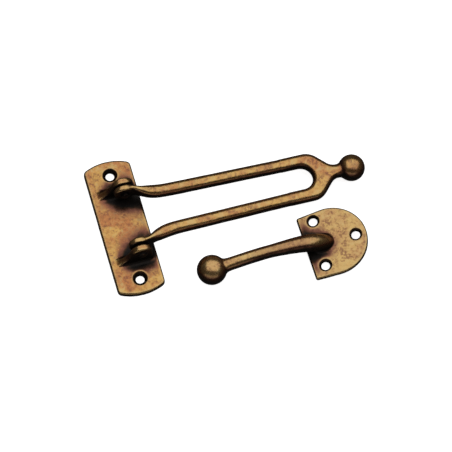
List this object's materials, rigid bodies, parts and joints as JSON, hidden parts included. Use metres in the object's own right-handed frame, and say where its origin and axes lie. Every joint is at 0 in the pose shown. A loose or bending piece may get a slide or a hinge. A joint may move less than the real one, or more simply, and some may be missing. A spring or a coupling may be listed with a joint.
{
  "type": "swing bar door guard",
  "caption": "Door guard of aged brass: a plate with lugs carries a hinged U-shaped bar ending in a ball, which swings over the ball-ended bent arm of a separate D-shaped plate.",
  "frame": {"origin": "centre of the frame plate's flat back face", "axes": "+X from the frame plate along the swing bar to its ball, +Y along the frame plate's long side, +Z out of the frame plate's back towards its lugs"},
  "size_m": [0.1247, 0.0819, 0.0148],
  "materials": {
    "frame_brass": "aged satin brass, dark in the recesses and rubbed bright on the faces",
    "bar_brass": "aged satin brass, rubbed bright along the tops of the arms",
    "rivet_brass": "aged satin brass, dark round the rim",
    "hook_brass": "aged satin brass, dark round the root of the arm"
  },
  "bodies": {
    "frame": {"frame_plate": "frame_brass", "upper_pivot_rivet": "rivet_brass", "lower_pivot_rivet": "rivet_brass"},
    "bar": {"swing_bar": "bar_brass"},
    "hook": {"door_hook": "hook_brass"}
  },
  "joints": [
    {"name": "bar_swing", "type": "hinge", "parent": "frame", "child": "bar", "pos_m": [0.0038, 0.00035, 0.0098], "axis": [0, -1, 0], "range_deg": [0, 183.5]},
    {"name": "hook_lift", "type": "slide", "parent": "frame", "child": "hook", "axis": [0, 0, 1], "range_m": [0, 0.06]}
  ]
}
